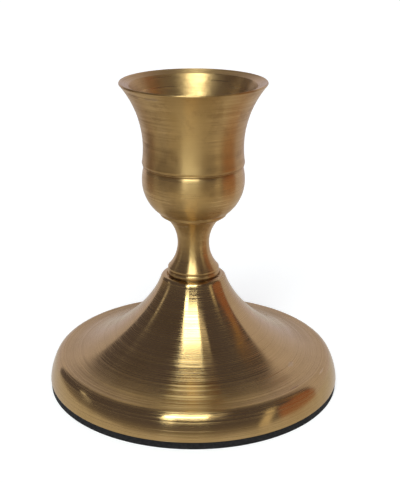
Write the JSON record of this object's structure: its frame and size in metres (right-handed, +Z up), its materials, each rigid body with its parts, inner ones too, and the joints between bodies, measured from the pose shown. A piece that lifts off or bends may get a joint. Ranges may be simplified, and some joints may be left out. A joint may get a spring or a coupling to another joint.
{
  "type": "candle holder",
  "caption": "Turned brass candle holder: flared cup on a waisted stem and a bell-shaped foot, with a felt pad underneath.",
  "frame": {"origin": "centre of the felt pad's underside, where the holder stands", "axes": "+Z up along the turning axis, towards the rim of the cup"},
  "size_m": [0.075, 0.075, 0.0789],
  "materials": {
    "satin_brass": "turned and satin, with fine marks round the axis",
    "glossy_brass": "turned and half polished, with fine marks round the axis",
    "steel": "zinc plated",
    "felt": "dense pressed felt"
  },
  "bodies": {
    "root": {"candle_cup": "satin_brass", "cup_bowl": "satin_brass", "stem": "glossy_brass", "neck_ring": "glossy_brass", "base_foot": "glossy_brass", "tie_rod": "steel", "foot_washer": "steel", "lock_washer": "steel", "foot_nut": "steel", "closing_disc": "steel", "felt_pad": "felt"}
  },
  "joints": []
}
